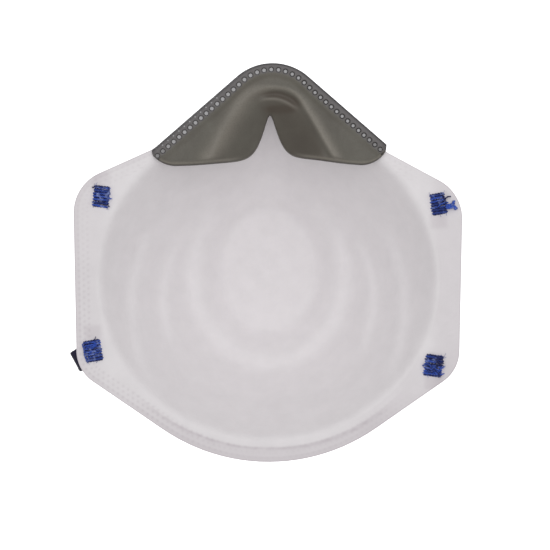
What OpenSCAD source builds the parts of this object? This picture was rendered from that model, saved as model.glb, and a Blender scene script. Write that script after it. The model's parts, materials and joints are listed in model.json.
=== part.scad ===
// Disposable moulded-cup dust mask, standing upright as it is worn.
// +Z is up (nose up), -Y points at the wearer's face and +Y out through the cup.
// The origin is the centre of the cup's mouth, on the face side of the flange.

/* [Flange outline] */
// Height at which the two nose slopes would meet
nose_vertex_z = 86.1; // [85:0.1:87]
// How far the nose panel is shifted to the right
nose_shift = 1.7; // [0:0.1:2]
// Radius that rounds the nose
nose_radius = 20; // [16:0.5:22]
// Half width at the hollow between nose slope and shoulder
hollow_x = 43.6; // [43:0.1:46]
// Height of that hollow
hollow_z = 48.2; // [47:0.1:49]
// How far the right hollow tucks in under the nose foam
hollow_tuck = 1.9; // [0:0.1:2]
// Radius that softens the hollow
hollow_radius = 12; // [6:0.5:16]
// Half width at the upper corner
upper_corner_x = 71.6; // [70:0.1:74]
// Height of the upper corners
upper_corner_z = 33.4; // [32:0.1:35]
// How much higher the left one sits and how much lower the right one
corner_skew = 1.5; // [0:0.1:1.6]
// Radius of the upper corner
upper_corner_radius = 16; // [10:0.5:17]
// Half width at the lower corner
lower_corner_x = 70.2; // [69:0.1:73]
// Height of the lower corner
lower_corner_z = -33.3; // [-36:0.1:-31]
// Radius of the lower corner
lower_corner_radius = 14; // [8:0.5:16]
// Height at which the two chin slopes would meet
chin_vertex_z = -81.7; // [-84:0.1:-80]
// How far the chin sits to the right of the middle
chin_x = 0.6; // [0:0.1:1]
// Radius that rounds the chin
chin_radius = 69; // [60:1:72]

/* [Cup] */
// Half width of the cup's mouth
mouth_x = 63.5; // [62:0.1:64]
// Half height of the cup's mouth
mouth_z = 59.8; // [58:0.1:60]
// How much higher the mouth reaches over the bridge of the nose
nose_rise = 10; // [6:0.5:11]
// Inside depth from the flange to the cup's centre
cup_depth = 48; // [40:1:50]
// Thickness of the four layers together, in the cup
wall = 2.6; // [2:0.1:3]
// Share of that thickness left where the flange is pressed
flange_press = 0.5; // [0.4:0.05:0.7]

/* [Nose foam] */
// Thickness of the foam pad
foam_thick = 2.2; // [1.5:0.1:3]
// Height of the pad's lower edge at its two lobes
foam_edge_z = 41.65; // [41:0.05:43]
// How much higher that edge would run near the middle without its notch
edge_rise = 3.6; // [0:0.1:4]
// How far the notch for the nose rises above that
notch_rise = 15.3; // [12:0.1:16]
// How far the notch sits to the right of the middle
notch_x = 0.75; // [0:0.05:1]
// How quickly the notch closes sideways
notch_width = 3.6; // [3:0.1:6]
// How deep the pad dips into the cup beside the notch
foam_dip = 9; // [4:0.5:10]
// How far the pad sits to the left of the nose's middle, along the nose edge
pad_shift = 1.8; // [0:0.1:2]
// Number of weld spots along the pad
weld_count = 40; // [20:2:40]
// Distance between weld spots
weld_pitch = 2.64; // [2:0.02:2.64]
// Radius of a weld spot
weld_radius = 0.8; // [0.4:0.05:0.85]
// Distance of the weld spots from the pad's outer edge
weld_inset = 2.2; // [1.8:0.05:2.3]
// How much further in they run along the two slopes
weld_drift = 0.5; // [0:0.05:0.6]

/* [Nose clip] */
// Width of the aluminium strip
clip_width = 5; // [4:0.5:6]
// Thickness of the strip
clip_thick = 0.9; // [0.6:0.1:1.2]
// Angle that the strip spans round the nose
clip_span = 84; // [60:2:90]

/* [Head bands] */
// Width of the elastic
band_width = 8; // [6:0.5:8]
// Thickness of the elastic
band_thick = 0.9; // [0.6:0.1:1.2]
// Distance in front of the flange's face side at which a band swings
band_axis_y = 3; // [2.5:0.1:4]
// Height of the upper band's axis
upper_axis_z = 29; // [28:0.5:30]
// Height of the lower band's axis
lower_axis_z = -29.5; // [-31:0.5:-28]
// How far a slack band bows out in front of its axis
band_reach = 52.5; // [52:0.5:55]
// Half width at which a band folds, just inside the flange
fold_x = 68.6; // [68.5:0.1:70]
// The same for the lower left fold, which sticks out past the flange
loose_fold_x = 71.7; // [70:0.1:73]

/* [Bar tacks] */
// Number of stitches in a tack
stitch_count = 7; // [5:1:7]
// Distance between stitches
stitch_pitch = 1.08; // [1:0.02:1.1]
// Width of the sewing thread
thread = 0.8; // [0.5:0.05:0.9]

/* [Hidden] */

// Each tack: centre x, centre z, how its stitches tilt in degrees, and their length
UPPER_LEFT = [-61.2, 30.6, -7, 6.3];
UPPER_RIGHT = [62.6, 27.9, 10, 5.8];
LOWER_LEFT = [-64.2, -26, 10, 6.6];
LOWER_RIGHT = [60.8, -31.5, -8, 7];

// The layers, counted outwards: where each starts and ends, as shares of the wall
INNER_COVER = [0, 0.13];
SUPPORT_SHELL = [0.145, 0.53];
FILTER_LAYER = [0.545, 0.84];
OUTER_COVER = [0.855, 1];

skin_gap = 0.05;
step = 7.5;
cell = 12;

function unit(v) = v / norm(v);
function clamp01(v) = min(1, max(0, v));
function smooth(v) = let (c = clamp01(v)) c * c * (3 - 2 * c);
function bell(v) = exp(-v * v);

// ---- Outline of the flange, as [x, z] points from the nose clockwise ----

// How far the right hollow drops for each millimetre that it tucks in
tuck_drop = 0.6;

// An arc of n steps that rounds the corner p between its neighbours
function rounded(p, before, after, r, n) =
    let (a = unit(before - p), b = unit(after - p), half = acos(a * b) / 2,
         centre = p + unit(a + b) * r / sin(half), sweep = 180 - 2 * half,
         from = p + a * r / tan(half) - centre, to = p + b * r / tan(half) - centre)
    [for (i = [0:n]) centre
        + (from * sin(sweep * (1 - i / n)) + to * sin(sweep * i / n)) / sin(sweep)];

function with_steps(points) =
    [for (i = [0:len(points) - 1])
        let (p = points[i], q = points[(i + 1) % len(points)], n = ceil(norm(q - p) / step))
        for (k = [0:n - 1]) p + (q - p) * k / n];

NOSE = [nose_shift, nose_vertex_z];
LEFT_HOLLOW = [nose_shift - hollow_x, hollow_z];
RIGHT_HOLLOW = [nose_shift + hollow_x - hollow_tuck, hollow_z - tuck_drop * hollow_tuck];
LEFT_UPPER = [-upper_corner_x, upper_corner_z + corner_skew];
RIGHT_UPPER = [upper_corner_x, upper_corner_z - corner_skew];
LEFT_LOWER = [-lower_corner_x, lower_corner_z];
RIGHT_LOWER = [lower_corner_x, lower_corner_z];
CHIN = [chin_x, chin_vertex_z];

outline = with_steps(concat(
    rounded(NOSE, LEFT_HOLLOW, RIGHT_HOLLOW, nose_radius, 6),
    rounded(RIGHT_HOLLOW, NOSE, RIGHT_UPPER, hollow_radius, 1),
    rounded(RIGHT_UPPER, RIGHT_HOLLOW, RIGHT_LOWER, upper_corner_radius, 4),
    rounded(RIGHT_LOWER, RIGHT_UPPER, CHIN, lower_corner_radius, 4),
    rounded(CHIN, RIGHT_LOWER, LEFT_LOWER, chin_radius, 12),
    rounded(LEFT_LOWER, CHIN, LEFT_UPPER, lower_corner_radius, 4),
    rounded(LEFT_UPPER, LEFT_LOWER, LEFT_HOLLOW, upper_corner_radius, 4),
    rounded(LEFT_HOLLOW, LEFT_UPPER, NOSE, hollow_radius, 1)));

// ---- The cup's inside: an oval crown, a stepped ring and two ribs at each side ----

// Distance from the origin, in direction a, to an oval with centre [0, cz]
function oval(a, rx, rz, cz) =
    let (u = cos(a) / rx, v = sin(a) / rz, k = cz / rz,
         m = u * u + v * v, h = v * k)
    (h + sqrt(h * h - m * (k * k - 1))) / m;

// The ovals that the relief follows: half width, half height and the height of the centre
CROWN = [18, 23, 3.7];
RING = [29.5, 34, 1.8];
INNER_RIB = [40.5, 41, -6.5];
OUTER_RIB = [51.4, 54.5, -8.4];
function on(shape, a) = oval(a, shape[0], shape[1], shape[2]);

// How wide the rise over the nose is, in degrees
nose_rise_width = 14;
function mouth(a) =
    oval(a, mouth_x, mouth_z, 0) + nose_rise * bell((abs(a) > 180 ? 0 : a - 90) / nose_rise_width);

// 1 at the cup's two sides, a little below the middle, fading to 0 towards nose and chin
rib_middle = -0.11;
rib_reach = 0.3;
rib_fade = 0.35;
function at_sides(a) = 1 - smooth((abs(sin(a) - rib_middle) - rib_reach) / rib_fade);

// 1 round the chin side, fading towards the nose
ring_fade = 0.7;
fade_start = 0.2;
fade_reach = 0.7;
function round_chin(a) = 1 - ring_fade * smooth((sin(a) - fade_start) / fade_reach);

// How steep the wall is at distance r in direction a, before the depth is set:
// nearly flat on the crown, steeper outwards, easing where the ring, the ribs and the rim are
crown_slope = 0.1;
crown_start = 1.5;
crown_edge = 5;
inner_slope = 0.6;
outer_slope = 0.9;
ring_ease = 0.85;
ring_width = 3.2;
inner_rib_ease = 0.55;
inner_rib_width = 1.9;
outer_rib_ease = 0.5;
outer_rib_width = 1.8;
rim_ease = 0.85;
rim_start = 0.94;
function steepness(r, a) =
    (crown_slope + (1 - crown_slope) * smooth((r - on(CROWN, a) + crown_start) / crown_edge))
    * (inner_slope + outer_slope * pow(r / mouth_x, 2))
    * (1 - ring_ease * round_chin(a) * bell((r - on(RING, a)) / ring_width)
         - inner_rib_ease * at_sides(a) * bell((r - on(INNER_RIB, a)) / inner_rib_width)
         - outer_rib_ease * at_sides(a) * bell((r - on(OUTER_RIB, a)) / outer_rib_width))
    * (1 - rim_ease * smooth((r / mouth(a) - rim_start) / (1 - rim_start)));

slices = 40;
function climb(a, r0, r1) =
    let (d = (r1 - r0) / slices)
    d * sum([for (i = [0:slices - 1]) steepness(r0 + (i + 0.5) * d, a)]);
function sum(list) = list * [for (v = list) 1];

function depth_at(r, a) =
    r >= mouth(a) ? 0 : cup_depth * climb(a, r, mouth(a)) / climb(a, 0, mouth(a));

// The radii at which the cup is drawn, following its relief
function row_radii(a) =
    let (c = on(CROWN, a), g = on(RING, a), i = max(on(INNER_RIB, a), g + 6),
         m = mouth(a), o = min(on(OUTER_RIB, a), m * 0.9))
    [c * 0.55, c, c + 4, g, g + 3.6, i, (i + o) / 2, o, (o + m) / 2, m * 0.965, m];

// For each row: how far the layers lean outwards, and how much of the wall is left
row_lean = [8, 18, 34, 38, 42, 46, 48, 50, 52, 44, 20, 0, 0];
row_wall = [1, 1, 1, 1, 1, 1, 1, 1, 1, 0.8, 0.54, flange_press, flange_press];
flange_start = 1.6;

function polar(a, r, y) = [r * cos(a), y, r * sin(a)];

// Rows of [angle, radius, depth] on the inside, then two rows on the flange
rows = let (angles = [for (p = outline) atan2(p[1], p[0])])
    [for (j = [0:12]) [for (k = [0:len(outline) - 1])
        let (a = angles[k], edge = norm(outline[k]))
        j < 11 ? let (r = row_radii(a)[j]) [a, r, depth_at(r, a)]
               : [a, j == 11 ? mouth(a) + flange_start : edge, 0]]];

// The surface that lies the share t of the wall outside the cup's inside
function skin(t) =
    [for (j = [0:12]) [for (q = rows[j])
        let (off = t * wall * row_wall[j])
        polar(q[0], q[1] + off * sin(row_lean[j]), q[2] + off * cos(row_lean[j]))]];

function flat(lists) = [for (l = lists) each l];

// One moulded layer between two shares of the wall
module layer(span) {
    n = len(outline);
    m = 13 * n;
    near = flat(skin(span[0]));
    far = flat(skin(span[1]));
    tips = [[0, cup_depth + span[0] * wall, 0], [0, cup_depth + span[1] * wall, 0]];
    points = concat(near, far, tips);
    faces = concat(
        [for (k = [0:n - 1]) let (l = (k + 1) % n) each [
            [2 * m, l, k], [2 * m + 1, m + k, m + l],
            [m - n + k, m - n + l, 2 * m - n + l], [m - n + k, 2 * m - n + l, 2 * m - n + k]]],
        [for (j = [0:11]) for (k = [0:n - 1])
            let (p = j * n + k, q = j * n + (k + 1) % n) each [
            [p, q, q + n], [p, q + n, p + n],
            [m + p, m + q + n, m + q], [m + p, m + p + n, m + q + n]]]);
    polyhedron(points, faces);
}

module inner_cover() { color("#f4f2f2") layer(INNER_COVER); }
module support_shell() { color("#eceae6") layer(SUPPORT_SHELL); }
module filter_layer() { color("#f7f7fa") layer(FILTER_LAYER); }
module outer_cover() { color("#f6f6f4") layer(OUTER_COVER); }

// ---- Nose foam: welded along the nose edge, free along its notched lower edge ----

slope_angle = atan2(nose_vertex_z - hollow_z, hollow_x);
foam_inset = 0.3;
foam_reach = weld_count * weld_pitch / 2;
foam_low_x = 41.3;
foam_columns = 20;
foam_rows = 6;
// How the columns gather round the notch: 1 would space them evenly along the lower edge
notch_gather = 1.5;

// A point s millimetres from the middle, along the nose edge moved inwards by inset
function nose_edge(s, inset) =
    let (r = nose_radius - inset, arc = r * slope_angle * PI / 180,
         cz = nose_vertex_z - nose_radius / cos(slope_angle),
         a = min(abs(s), arc) * 180 / (PI * r), past = max(0, abs(s) - arc))
    [nose_shift + sign(s) * (r * sin(a) + past * cos(slope_angle)),
     cz + r * cos(a) - past * sin(slope_angle)];

// The lower edge: falling gently to both lobes, cut by the notch and rounded up at its ends
rise_x = 4.3;
rise_width = 20.5;
notch_sharpness = 1.3;
notch_round = 0.5;
end_start = 33.6;
end_round = 11.3;
function lower_edge(x) =
    [x, foam_edge_z + edge_rise * bell((x - rise_x) / rise_width)
        + notch_rise * exp(-pow((norm([x - notch_x, notch_round]) - notch_round) / notch_width, notch_sharpness))
        + end_round - sqrt(pow(end_round, 2) - pow(max(0, abs(x) - end_start), 2))];

// How far the pad dips into the cup: it follows the arch over the nose
ARCH = [22, 30, 40];
dip_start = 0.97;
dip_width = 0.7;
function dip(p) =
    foam_dip * smooth((dip_start - norm([p[0] / ARCH[0], (p[1] - ARCH[2]) / ARCH[1]])) / dip_width);

foam_grid =
    [for (j = [0:foam_rows]) [for (i = [-foam_columns:foam_columns])
        let (f = i / foam_columns, top = nose_edge(f * foam_reach - pad_shift, foam_inset),
             x = notch_x * (1 - abs(f)) + sign(f) * pow(abs(f), notch_gather) * foam_low_x,
             low = lower_edge(x), v = j / foam_rows)
        top + (low - top) * v]];

module foam_sheet() {
    n = 2 * foam_columns + 1;
    m = n * (foam_rows + 1);
    face_side = [for (p = flat(foam_grid)) [p[0], dip(p) - skin_gap - foam_thick, p[1]]];
    cup_side = [for (p = flat(foam_grid)) [p[0], dip(p) - skin_gap, p[1]]];
    border = concat([for (i = [0:n - 1]) i], [for (j = [1:foam_rows]) j * n + n - 1],
                    [for (i = [n - 2:-1:0]) foam_rows * n + i], [for (j = [foam_rows - 1:-1:1]) j * n]);
    faces = concat(
        [for (j = [0:foam_rows - 1]) for (i = [0:n - 2]) let (p = j * n + i) each [
            [p, p + 1, p + n + 1], [p, p + n + 1, p + n],
            [m + p, m + p + n + 1, m + p + 1], [m + p, m + p + n, m + p + n + 1]]],
        [for (i = [0:len(border) - 1])
            let (p = border[i], q = border[(i + 1) % len(border)]) each [
            [p, m + p, m + q], [p, m + q, q]]]);
    polyhedron(concat(face_side, cup_side), faces);
}

// Short pegs along Y at every weld spot
drift_reach = 20;
module at_welds(r, from, to) {
    for (i = [0:weld_count - 1]) {
        s = (i - (weld_count - 1) / 2) * weld_pitch - pad_shift;
        p = nose_edge(s, foam_inset + weld_inset + weld_drift * smooth(abs(s) / drift_reach));
        translate([p[0], to, p[1]]) rotate([90, 0, 0]) cylinder(h = to - from, r = r, $fn = cell);
    }
}

weld_clearance = 0.08;
weld_depth = 0.6;

module nose_foam() {
    color("#605d56") difference() {
        foam_sheet();
        at_welds(weld_radius + weld_clearance, -2 * foam_thick, foam_thick);
    }
}

module foam_welds() {
    color("#dcdce0") at_welds(weld_radius, weld_depth - foam_thick - skin_gap, -skin_gap / 2);
}

// ---- Ribbons: the nose clip and the elastic bands ----

// A flat strip through centres, with the direction across it given at each one
module ribbon(centres, across, width, thick) {
    n = len(centres);
    last = n - 1;
    points = [for (i = [0:last])
        let (along = unit(centres[min(i + 1, last)] - centres[max(i - 1, 0)]),
             w = unit(across[i] - along * (across[i] * along)) * width / 2,
             h = cross(along, unit(w)) * thick / 2)
        each [centres[i] + w + h, centres[i] - w + h, centres[i] - w - h, centres[i] + w - h]];
    faces = concat([[3, 2, 1], [3, 1, 0]],
        [for (i = [0:n - 2]) for (k = [0:3])
            let (p = 4 * i + k, q = 4 * i + (k + 1) % 4) each [[p, q, q + 4], [p, q + 4, p + 4]]],
        [[4 * last, 4 * last + 1, 4 * last + 2], [4 * last, 4 * last + 2, 4 * last + 3]]);
    polyhedron(points, faces);
}

// A point on the cup's outside, the share f of the way out to its mouth
clip_place = 0.89;
clip_probe = 0.04;
clip_lift = 0.35;
function outside(a, f, lift) =
    let (r = mouth(a) * f, lean = 50, off = wall + lift)
    polar(a, r + off * sin(lean), depth_at(r, a) + off * cos(lean));

module nose_clip() {
    steps = 18;
    angles = [for (i = [0:steps]) 90 + clip_span * (i / steps - 0.5)];
    lift = clip_thick / 2 + clip_lift;
    centres = [for (a = angles) outside(a, clip_place, lift)];
    across = [for (a = angles)
        outside(a, clip_place + clip_probe, lift) - outside(a, clip_place - clip_probe, lift)];
    color("#c4c6c8") ribbon(centres, across, clip_width, clip_thick);
}

// The free span of a band: half an oval in front of the cup, from fold to fold.
// It starts this far from its axis, so that it clears the flange and its sewn ends.
span_start = 8;
span_steps = 28;

module band(left_x, right_x, z) {
    first = asin(span_start / band_reach);
    turns = [for (i = [0:span_steps]) first + (180 - 2 * first) * i / span_steps];
    middle = (right_x + left_x) / 2;
    half = (right_x - left_x) / 2;
    centres = [for (t = turns) [middle + half * cos(t), band_axis_y + band_reach * sin(t), z]];
    ribbon(centres, [for (t = turns) [0, 0, 1]], band_width, band_thick);
}

module upper_band() { color("#33304a") band(-fold_x, fold_x, upper_axis_z); }
module lower_band() { color("#33304a") band(-loose_fold_x, fold_x, lower_axis_z); }

// A band's sewn end: flat from under its tack to the fold, where it turns forwards
end_stop = 2.7;
under_tack = 3.7;
seat_gap = 0.12;
fold_radius = 2.4;

module band_end(tack, x, axis_z) {
    seat = wall * flange_press + seat_gap + band_thick / 2;
    stop = band_axis_y + end_stop;
    start = [tack[0], seat, tack[1]];
    way = unit([x, seat, axis_z] - start);
    turn = [x, seat, axis_z] - way * fold_radius;
    lead = [start - way * under_tack, start, turn];
    bend = [for (t = [22.5:22.5:90])
        turn + fold_radius * (way * sin(t) + [0, 1 - cos(t), 0])];
    slanted = sign(x) * cross(way, [0, 1, 0]) * -1;
    across = concat([for (p = lead) slanted],
                    [for (t = [0.8, 0.55, 0.3, 0.1, 0]) slanted * t + [0, 0, sign(slanted[2]) * (1 - t)]]);
    ribbon(concat(lead, bend, [[x, stop, axis_z]]), across, band_width, band_thick);
}

module upper_band_ends() {
    color("#33304a") {
        band_end(UPPER_LEFT, -fold_x, upper_axis_z);
        band_end(UPPER_RIGHT, fold_x, upper_axis_z);
    }
}

module lower_band_ends() {
    color("#33304a") {
        band_end(LOWER_LEFT, -loose_fold_x, lower_axis_z);
        band_end(LOWER_RIGHT, fold_x, lower_axis_z);
    }
}

// ---- Bar tacks: loops of thread sewn through the flange and the band's end ----

thread_proud = 0.5;

module stitch(length) {
    back = wall * flange_press + seat_gap + band_thick + thread_proud;
    translate([0, 0, -thread / 2]) linear_extrude(thread) difference() {
        translate([-length / 2, -thread_proud - skin_gap])
            square([length, back + thread_proud + skin_gap]);
        translate([-length / 2 + thread / 2, -skin_gap])
            square([length - thread, back - thread_proud + skin_gap]);
    }
}

module tack(place) {
    color("#33406f") translate([place[0], 0, place[1]]) rotate([0, -place[2], 0])
        for (i = [0:stitch_count - 1])
            translate([0, 0, (i - (stitch_count - 1) / 2) * stitch_pitch]) stitch(place[3]);
}

module upper_left_tack() { tack(UPPER_LEFT); }
module upper_right_tack() { tack(UPPER_RIGHT); }
module lower_left_tack() { tack(LOWER_LEFT); }
module lower_right_tack() { tack(LOWER_RIGHT); }

inner_cover();
support_shell();
filter_layer();
outer_cover();
nose_foam();
foam_welds();
nose_clip();
upper_band();
upper_band_ends();
lower_band();
lower_band_ends();
upper_left_tack();
upper_right_tack();
lower_left_tack();
lower_right_tack();
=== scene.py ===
"""The looks of a disposable moulded-cup dust mask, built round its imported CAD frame.

+Z is up (nose up), -Y points at the wearer's face and +Y out through the cup.
Sizes are in millimetres, and each mesh is scaled to metres when it is made.
"""

import json
import math

import bmesh
import bpy
import numpy as np
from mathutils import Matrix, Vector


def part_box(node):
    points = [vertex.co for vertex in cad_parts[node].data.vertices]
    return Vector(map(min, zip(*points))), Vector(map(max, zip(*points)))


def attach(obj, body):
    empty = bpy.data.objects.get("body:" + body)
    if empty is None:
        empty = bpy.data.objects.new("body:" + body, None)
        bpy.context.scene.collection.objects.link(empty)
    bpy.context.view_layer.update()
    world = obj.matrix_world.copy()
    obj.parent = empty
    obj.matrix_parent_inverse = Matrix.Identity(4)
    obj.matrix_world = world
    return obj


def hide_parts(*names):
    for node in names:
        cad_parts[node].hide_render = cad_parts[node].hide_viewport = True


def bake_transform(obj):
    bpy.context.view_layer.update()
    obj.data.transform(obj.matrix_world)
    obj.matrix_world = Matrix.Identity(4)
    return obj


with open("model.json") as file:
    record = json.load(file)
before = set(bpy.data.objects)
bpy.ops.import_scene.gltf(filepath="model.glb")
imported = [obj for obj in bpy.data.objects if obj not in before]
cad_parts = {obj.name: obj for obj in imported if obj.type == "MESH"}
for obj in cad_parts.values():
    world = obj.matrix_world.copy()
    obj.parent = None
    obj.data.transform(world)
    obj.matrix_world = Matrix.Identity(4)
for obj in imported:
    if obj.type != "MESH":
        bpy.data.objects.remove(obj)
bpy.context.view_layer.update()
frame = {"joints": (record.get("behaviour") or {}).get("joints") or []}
MM = 0.001


def box(node):
    """The lowest and highest corner of a CAD node, in millimetres"""
    return [np.array(corner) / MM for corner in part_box(node)]


# ---- Driving sizes: the CAD model's, but for the foam's low corners and the lower band's folds ----

JOINT_PLACES = {joint["name"]: np.array(joint["pos_m"]) / MM for joint in frame["joints"]}

NOSE_RADIUS = 20
HOLLOW = (43.6, 48.2)
NOSE_VERTEX_Z = 86.1
NOSE_SLOPE = math.atan2(NOSE_VERTEX_Z - HOLLOW[1], HOLLOW[0])
NOSE_SHIFT = 1.7
HOLLOW_TUCK = 1.9
TUCK_DROP = 0.6
HOLLOW_RADIUS = 12
UPPER_CORNER = (71.6, 33.4)
CORNER_SKEW = 1.5
UPPER_CORNER_RADIUS = 16
LOWER_CORNER = (70.2, -33.3)
LOWER_CORNER_RADIUS = 14
CHIN_RADIUS = 69
CHIN_VERTEX = (0.6, -81.7)

MOUTH_X = 63.5
MOUTH_Z = 59.8
NOSE_RISE = 10
NOSE_RISE_WIDTH = 14
WALL = 2.6
FLANGE_PRESS = 0.5
INNER_COVER = (0, 0.13)
SUPPORT_SHELL = (0.145, 0.53)
FILTER_LAYER = (0.545, 0.84)
OUTER_COVER = (0.855, 1)
CUP_DEPTH = box("inner_cover")[1][1] - INNER_COVER[1] * WALL

# Ovals that the relief follows: half width, half height and the height of the centre
CROWN = (18, 23, 3.7)
RING = (29.5, 34, 1.8)
INNER_RIB = (40.5, 41, -6.5)
OUTER_RIB = (51.4, 54.5, -8.4)

# The wall is nearly flat on the crown and steeper outwards. It eases by a share over a width at the ring,
# at the ribs, which fade away from the cup's two sides, and at the rim. The ring fades towards the nose
CROWN_SLOPE = 0.1
CROWN_START = -1.5
CROWN_EDGE = 5
INNER_SLOPE = 0.6
OUTER_SLOPE = 0.9
RING_EASE, RING_WIDTH = 0.85, 3.2
INNER_RIB_EASE, INNER_RIB_WIDTH = 0.55, 1.9
OUTER_RIB_EASE, OUTER_RIB_WIDTH = 0.5, 1.8
RIM_EASE, RIM_START = 0.85, 0.94
RIB_MIDDLE, RIB_REACH, RIB_FADE = -0.11, 0.3, 0.35
RING_FADE, FADE_START, FADE_REACH = 0.7, 0.2, 0.7

# Where the layers stop leaning outwards and where they are pressed together, as shares of the mouth's radius
LEAN_END, LEAN_FADE = 0.94, 0.08
PRESS_START, PRESS_FADE = 0.9, 0.12

FOAM_THICK = 2.2
SKIN_GAP = 0.05
FOAM_INSET = 0.3
WELD_COUNT = 40
WELD_PITCH = 2.64
WELD_RADIUS = 0.8
WELD_INSET = 2.2
WELD_DRIFT = 0.5
DRIFT_REACH = 20
PAD_SHIFT = 1.8
FOAM_REACH = WELD_COUNT * WELD_PITCH / 2
FOAM_LOW_X = 42.1
FOAM_EDGE_Z = 41.65
EDGE_RISE = 3.6
RISE_X = 4.3
RISE_WIDTH = 20.5
NOTCH_RISE = 15.3
NOTCH_X = 0.75
NOTCH_WIDTH = 3.6
NOTCH_SHARPNESS = 1.3
NOTCH_ROUND = 0.5
NOTCH_GATHER = 1.5
END_START = 33.6
END_ROUND = 11.3

CLIP_WIDTH = 5
CLIP_THICK = 0.9
CLIP_SPAN = math.radians(84)
CLIP_PLACE = 0.89
CLIP_PROBE = 0.04
CLIP_LIFT = 0.35
CLIP_CORNER = 1.4
CLIP_SQUARENESS = 0.35

BAND_WIDTH = 8
BAND_THICK = 0.9
FOLD_X = 68.6
LOOSE_FOLD_X = 71.3
LOWER_FOLD_X = 67.4
LOOSE_FOLD_DROP = 1.1
FOLD_RADIUS = 2.4
UNDER_TACK = 3.7
BAND_GAP = 0.12
SEAT = WALL * FLANGE_PRESS + BAND_GAP + BAND_THICK / 2

# Each tack: centre x, centre z, the tilt of its stitches in degrees, and their length
TACKS = {
    "upper_left_tack": (-61.2, 30.6, -7, 6.3),
    "upper_right_tack": (62.6, 27.9, 10, 5.8),
    "lower_left_tack": (-64.2, -26, 10, 6.6),
    "lower_right_tack": (60.8, -31.5, -8, 7),
}
# How many frayed strands, most of them paler, lie across each
FRAYED = {"upper_left_tack": 3, "upper_right_tack": 4, "lower_left_tack": 9, "lower_right_tack": 14}
STITCH_PITCH = 1.08
STITCH_COUNT = 7


# ---- Small maths ----

def smooth(value):
    """0 up to 0, rising smoothly to 1 at 1"""
    clamped = np.clip(value, 0, 1)
    return clamped * clamped * (3 - 2 * clamped)


def ramp(value, start, reach):
    """0 up to start, rising smoothly to 1 over reach"""
    return smooth((value - start) / reach)


def bell(value):
    return np.exp(-np.square(value))


def unit(vectors):
    return vectors / np.linalg.norm(vectors, axis=-1, keepdims=True)


def circle(count):
    """Evenly spaced points on a circle of radius 1"""
    turn = np.linspace(0, 2 * math.pi, count, endpoint=False)
    return np.stack([np.cos(turn), np.sin(turn)], axis=1)


def waves(points, wavelength, seed, count=14):
    """A smooth random value between about -1 and 1 at each point, as a sum of seeded waves"""
    rng = np.random.default_rng(seed)
    directions = unit(rng.normal(size=(count, points.shape[-1])))
    pitches = 2 * math.pi / (wavelength * rng.uniform(0.7, 1.6, count))
    phases = rng.uniform(0, 2 * math.pi, count)
    return np.sin(points @ (directions * pitches[:, None]).T + phases).sum(axis=-1) / math.sqrt(count)


# ---- Outline of the flange ----

def rounded(corner, before, after, radius, steps=24):
    """Points along an arc that rounds a corner between its neighbours"""
    corner, before, after = (np.array(point, float) for point in (corner, before, after))
    a, b = unit(before - corner), unit(after - corner)
    half = math.acos(a @ b) / 2
    centre = corner + unit(a + b) * radius / math.sin(half)
    start = corner + a * radius / math.tan(half) - centre
    end = corner + b * radius / math.tan(half) - centre
    sweep = math.pi - 2 * half
    turn = np.linspace(0, 1, steps + 1)[:, None]
    return centre + (start * np.sin(sweep * (1 - turn)) + end * np.sin(sweep * turn)) / math.sin(sweep)


def outline(count):
    """Evenly spaced points [x, z] round the flange, clockwise from the nose"""
    tucked = (NOSE_SHIFT + HOLLOW[0] - HOLLOW_TUCK, HOLLOW[1] - TUCK_DROP * HOLLOW_TUCK)
    corners = [((NOSE_SHIFT, NOSE_VERTEX_Z), NOSE_RADIUS),
               (tucked, HOLLOW_RADIUS),
               ((UPPER_CORNER[0], UPPER_CORNER[1] - CORNER_SKEW), UPPER_CORNER_RADIUS),
               (LOWER_CORNER, LOWER_CORNER_RADIUS),
               (CHIN_VERTEX, CHIN_RADIUS),
               ((-LOWER_CORNER[0], LOWER_CORNER[1]), LOWER_CORNER_RADIUS),
               ((-UPPER_CORNER[0], UPPER_CORNER[1] + CORNER_SKEW), UPPER_CORNER_RADIUS),
               ((NOSE_SHIFT - HOLLOW[0], HOLLOW[1]), HOLLOW_RADIUS)]
    turns = [rounded(point, corners[i - 1][0], corners[(i + 1) % len(corners)][0], radius)
             for i, (point, radius) in enumerate(corners)]
    middle = len(turns[0]) // 2
    path = np.concatenate([turns[0][middle:], *turns[1:], turns[0][:middle + 1]])
    return resampled(path, count + 1)[:-1]


def lengths(path):
    """How far along it each point of a path lies"""
    steps = np.linalg.norm(np.diff(path, axis=0), axis=1)
    return np.concatenate([[0], np.cumsum(steps)])


def resampled(path, count):
    """The same path with count evenly spaced points; path may have any number of columns"""
    along = lengths(path[:, :3])
    even = np.linspace(0, along[-1], count)
    return np.stack([np.interp(even, along, column) for column in path.T], axis=1)


# ---- The cup's inside: an oval crown, a stepped ring and two ribs at each side ----

def oval(angle, half_width, half_height, centre_z):
    """Distance from the origin, in a direction, to an oval"""
    u, v, k = np.cos(angle) / half_width, np.sin(angle) / half_height, centre_z / half_height
    m, h = u * u + v * v, v * k
    return (h + np.sqrt(h * h - m * (k * k - 1))) / m


def mouth(angle):
    """The mouth's radius in each direction, with its rise over the nose"""
    from_nose = np.degrees((angle - math.pi / 2 + math.pi) % (2 * math.pi) - math.pi)
    return oval(angle, MOUTH_X, MOUTH_Z, 0) + NOSE_RISE * bell(from_nose / NOSE_RISE_WIDTH)


def plain_slope(r, angle):
    """The wall's steepness without its ring and ribs, before the depth is set"""
    crown = CROWN_SLOPE + (1 - CROWN_SLOPE) * ramp(r - oval(angle, *CROWN), CROWN_START, CROWN_EDGE)
    outwards = INNER_SLOPE + OUTER_SLOPE * (r / MOUTH_X) ** 2
    return crown * outwards * (1 - RIM_EASE * ramp(r / mouth(angle), RIM_START, 1 - RIM_START))


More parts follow.
